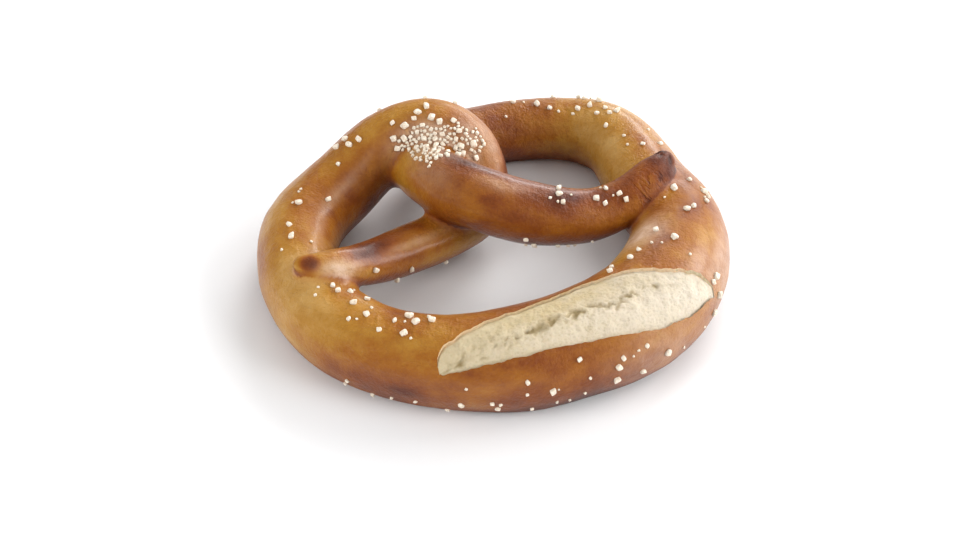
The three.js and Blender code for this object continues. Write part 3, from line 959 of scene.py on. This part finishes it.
def saltMaterial():
    material, tree, where = materialNamed("salt")
    clouds = mapped(tree, noise(tree, where, *salt["cloudNoise"]), *salt["cloudEdge"])
    surfaced(tree, {
        "Base Color": blended(tree, clouds, salt["cloud"], salt["colour"]),
        "Roughness": salt["roughness"],
        "Normal": bumped(tree, noise(tree, where, *salt["facetNoise"]), salt["facetBump"]),
        "IOR": salt["ior"],
    }, salt["glow"])
    return material


def breadPiece():
    movePoints(breadMesh, (breadPoints - boxMiddle) * metresPerMm)
    breadMesh.name = "bread"
    breadMesh.materials.clear()
    breadMesh.materials.append(crustMaterial())
    breadMesh.materials.append(crumbMaterial())
    breadMesh.polygons.foreach_set("material_index", torn.astype(np.int32))
    breadMesh.polygons.foreach_set("use_smooth", np.ones(len(torn), bool))
    marks = breadMesh.attributes
    marks.remove(marks["torn"])
    sides = {}
    for face, isTorn in zip(breadMesh.polygons, torn):
        for key in face.edge_keys:
            sides.setdefault(key, set()).add(bool(isTorn))
    lips = np.array([len(sides[edge.key]) == 2 for edge in breadMesh.edges])
    sharp = marks.get("sharp_edge") or marks.new("sharp_edge", "BOOLEAN", "EDGE")
    sharp.data.foreach_set("value", lips)
    breadMesh.update()
    piece = objectFrom("bread", breadMesh)
    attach(piece, "root")
    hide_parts("pretzel")


def inSlash(point):
    away = np.array(point[:2]) - slashStart
    share = away @ slashRun / slashLength ** 2
    sideways = (away[1] * slashRun[0] - away[0] * slashRun[1]) / slashLength
    bow = 4 * share * (1 - share)
    outer, inner = -slash["outward"] * bow - salt["slashMargin"], slash["inward"] * bow + salt["slashMargin"]
    return 0 < share < 1 and point[2] > salt["slashLowest"] and outer < sideways < inner


def buried(point, station, rope, ropeStations):
    # a grain there would be inside another strand
    across, rise, ahead = inSection(point, rope)
    near = (np.abs(ahead) < salt["strandNear"]) & (np.abs(ropeStations - station) > salt["sameStrand"])
    return bool(np.any(near & (across ** 2 + rise ** 2 < salt["strandSurface"])))


def saltPlaces():
    places = scattered(seededRandom(salt["seed"]), salt["zones"], [], salt["apart"])
    return scattered(seededRandom(salt["seed"] + 2), salt["fineZones"], places, salt["fineApart"])


def scattered(draw, zones, places, apart):
    wide, narrow = salt["checkSteps"]
    fineStart, fineEnd = salt["finelyChecked"]
    ropeStations = np.array([s for s in np.arange(0, lastStation + 0.01, narrow)
                             if s % wide == 0 or fineStart <= s < fineEnd])
    rope = sectionsAt(ropeStations)
    for along, around, count, size in zones:
        placed = 0
        for _ in range(salt["tries"] * count):
            if placed == count:
                break
            station = between(*along, next(draw))
            tilt = math.radians(between(*around, next(draw)))
            grainSize = size * between(*salt["sizes"], next(draw))
            spin = next(draw) * 2 * math.pi
            lean = between(-salt["lean"], salt["lean"], next(draw))
            section = sectionsAt([station])
            point = onSection(section, tilt)[0]
            crowded = any(np.linalg.norm(other["point"] - point) < apart * (other["size"] + grainSize)
                          for other in places)
            hidden = point[2] <= grainSize or buried(point, station, rope, ropeStations)
            if crowded or hidden or inSlash(point):
                continue
            normal = onSection(section, tilt, 1)[0] - point
            places.append({"point": point, "size": grainSize, "spin": spin, "lean": lean,
                           "along": section["along"][0], "normal": normal})
            placed += 1
    return places


cornerOrder = [(1, 1, 1), (1, 1, -1), (1, -1, 1), (1, -1, -1),
               (-1, 1, -1), (-1, 1, 1), (-1, -1, -1), (-1, -1, 1)]


def blockSkin():
    # a cube's six faces in small squares, points shared, from -1 to 1
    steps = salt["steps"]
    index, points, faces = {}, [], []

    def corner(key):
        if key not in index:
            index[key] = len(points)
            points.append([2 * c / steps - 1 for c in key])
        return index[key]

    for axis in range(3):
        u, v = (axis + 1) % 3, (axis + 2) % 3
        for side in (0, steps):
            for i in range(steps):
                for j in range(steps):
                    square = []
                    for di, dj in ((0, 0), (1, 0), (1, 1), (0, 1)):
                        key = [0, 0, 0]
                        key[axis], key[u], key[v] = side, i + di, j + dj
                        square.append(corner(tuple(key)))
                    faces.append(square if side else square[::-1])
    return np.array(points), np.array(faces)


def grainShape(skin, size, pulls):
    power = salt["boxiness"]
    rounded = skin / (np.abs(skin) ** power).sum(axis=1, keepdims=True) ** (1 / power)
    weights = np.stack([np.prod((1 + skin * np.array(corner)) / 2, axis=1) for corner in cornerOrder], axis=1)
    pull = weights @ np.array(pulls)
    return rounded * pull[:, None] * (size * np.array(salt["proportions"])) * salt["swell"] / 2


def saltMesh(tree):
    skin, squares = blockSkin()
    draw = seededRandom(salt["seed"] + 1)
    chips = salt["chips"]
    points, faces = [], []
    for number, place in enumerate(saltPlaces()):
        share, across = slashPlaces(place["point"][None])
        onSlash = 0 < share[0] < 1 and abs(across[0]) < salt["slashReach"]
        if onSlash and place["point"][2] > salt["slashLowest"]:
            continue
        pulls = [between(*salt["corners"], next(draw)) for _ in cornerOrder]
        shape = grainShape(skin, place["size"], pulls)
        chipped = lumps(shape + number * chips["apart"], chips["size"] * place["size"], chips["seed"])
        shape = shape * (1 + chips["amount"] * chipped)[:, None]
        seat, normal, _, _ = tree.find_nearest(Vector(place["point"]))
        normal = unit(np.array(normal)[None])[0]
        along = unit((place["along"] - normal * (place["along"] @ normal))[None])[0]
        basis = Matrix((along, np.cross(normal, along), normal)).transposed()
        turn = basis @ Matrix.Rotation(place["spin"], 3, "Z") @ Matrix.Rotation(place["lean"], 3, "X")
        seat = np.array(seat) + normal * salt["proud"] * place["size"]
        faces.append(squares + len(points) * len(skin))
        points.append(shape @ np.array(turn).T + seat)
    points = (np.vstack(points) - boxMiddle) * metresPerMm
    return meshFrom("salt", points, np.vstack(faces).tolist()), len(faces)


def saltPiece(tree):
    mesh, count = saltMesh(tree)
    mesh.polygons.foreach_set("use_smooth", np.ones(len(mesh.polygons), bool))
    mesh.materials.append(saltMaterial())
    piece = objectFrom("salt", mesh)
    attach(piece, "root")
    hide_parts("pretzel")
    print("pretzel: salt has", count, "grains and", 2 * len(mesh.polygons), "triangles")


print("pretzel: dressing the bread and salting it")
crustTree = treeOf(breadPoints, breadMesh)
breadPiece()
saltPiece(crustTree)


# a pale floor, soft lights all round, one long light for the gloss, and a white room
studio = {
    "floorSize": 6,
    "floorDrop": 0.0002,
    "floorColour": (0.85, 0.85, 0.855),
    "floorCloud": 0.99,
    "floorNoise": (12, 3),
    "floorEdge": (0.3, 0.7, 0, 1),
    "floorRoughness": 0.7,
    "ambient": 0.6,
    "mirrored": 0.2,  # how bright the surroundings are where a gloss mirrors them
    "glossLight": {"towards": (0.9, 0.08, 0.37), "distance": 0.9, "size": (2.4, 0.26), "watts": 16.0},
    "softLights": {"behind": (45, 0.8), "left": (180, 0.6), "front": (-45, 0.7), "right": (0, 0.5)},
    "softElevation": 24,
    "softWidth": 34,
}


def floorPiece():
    half = studio["floorSize"] / 2
    corners = [(-half, -half, 0), (half, -half, 0), (half, half, 0), (-half, half, 0)]
    mesh = meshFrom("floor", corners, [(0, 1, 2, 3)])
    material, tree, where = materialNamed("floor")
    shade = mapped(tree, noise(tree, where, *studio["floorNoise"]), *studio["floorEdge"])
    plain = np.array(studio["floorColour"])
    colour = blended(tree, shade, (*plain, 1), (*plain * studio["floorCloud"], 1))
    surfaced(tree, {"Base Color": colour, "Roughness": studio["floorRoughness"]})
    mesh.materials.append(material)
    floor = objectFrom("floor", mesh)
    floor.location.z = -studio["floorDrop"]


def lampNamed(name, kind, energy, towards):
    lamp = objectFrom(name, bpy.data.lights.new(name, kind))
    lamp.data.energy = energy
    lamp.rotation_euler = towards.to_track_quat("Z", "Y").to_euler()
    return lamp


def glossLight():
    settings = studio["glossLight"]
    towards = Vector(settings["towards"]).normalized()
    lamp = lampNamed("glossLight", "AREA", settings["watts"], towards)
    lamp.data.shape = "RECTANGLE"
    lamp.data.size, lamp.data.size_y = settings["size"]
    lamp.location = towards * settings["distance"]
    lamp.visible_diffuse = False


def softLight(name, azimuth, strength):
    around, up = math.radians(azimuth), math.radians(studio["softElevation"])
    towards = Vector((math.cos(around) * math.cos(up), math.sin(around) * math.cos(up), math.sin(up)))
    lamp = lampNamed(name, "SUN", strength * math.pi, towards)
    lamp.data.angle = math.radians(studio["softWidth"])
    lamp.visible_glossy = False


def surroundings():
    world = bpy.data.worlds.new("surroundings")
    world.use_nodes = True
    tree = world.node_tree
    gloss = addNode(tree, "ShaderNodeLightPath").outputs["Is Glossy Ray"]
    tree.links.new(mapped(tree, gloss, 0, 1, studio["ambient"], studio["mirrored"]),
                   tree.nodes["Background"].inputs["Strength"])
    tree.nodes["Background"].inputs["Color"].default_value = (1, 1, 1, 1)
    scene.world = world


cameraPlace = {
    "azimuth": -24,
    "elevation": 42,
    "distance": 0.7,
    "lookAt": (-0.000886, -0.001761, 0.012),
    "offset": (13, -17),  # of the look-at point from the middle of the view, right and down, in pixels
    "pixelsForSlope": 2310,  # for a slope of one
    "width": 960,
    "sensor": 36,
    "clip": (0.05, 20),
}


def cameraView():
    azimuth, elevation = math.radians(cameraPlace["azimuth"]), math.radians(cameraPlace["elevation"])
    flat = math.cos(elevation)
    back = Vector((math.sin(azimuth) * flat, -math.cos(azimuth) * flat, math.sin(elevation)))
    right = Vector((math.cos(azimuth), math.sin(azimuth), 0))
    up = right.cross(-back)
    metresPerPixel = cameraPlace["distance"] / cameraPlace["pixelsForSlope"]
    aside, down = [offset * metresPerPixel for offset in cameraPlace["offset"]]
    camera = bpy.data.objects.new("camera", bpy.data.cameras.new("camera"))
    scene.collection.objects.link(camera)
    camera.data.sensor_width = cameraPlace["sensor"]
    camera.data.lens = cameraPlace["pixelsForSlope"] / cameraPlace["width"] * cameraPlace["sensor"]
    camera.data.clip_start, camera.data.clip_end = cameraPlace["clip"]
    lookAt = Vector(cameraPlace["lookAt"])
    camera.location = lookAt + cameraPlace["distance"] * back - aside * right + down * up
    camera.rotation_euler = (-back).to_track_quat("-Z", "Y").to_euler()
    scene.camera = camera


print("pretzel: setting up the studio")
floorPiece()
glossLight()
for name, (azimuth, strength) in studio["softLights"].items():
    softLight(name, azimuth, strength)
surroundings()
cameraView()
scene.view_settings.view_transform = "Standard"
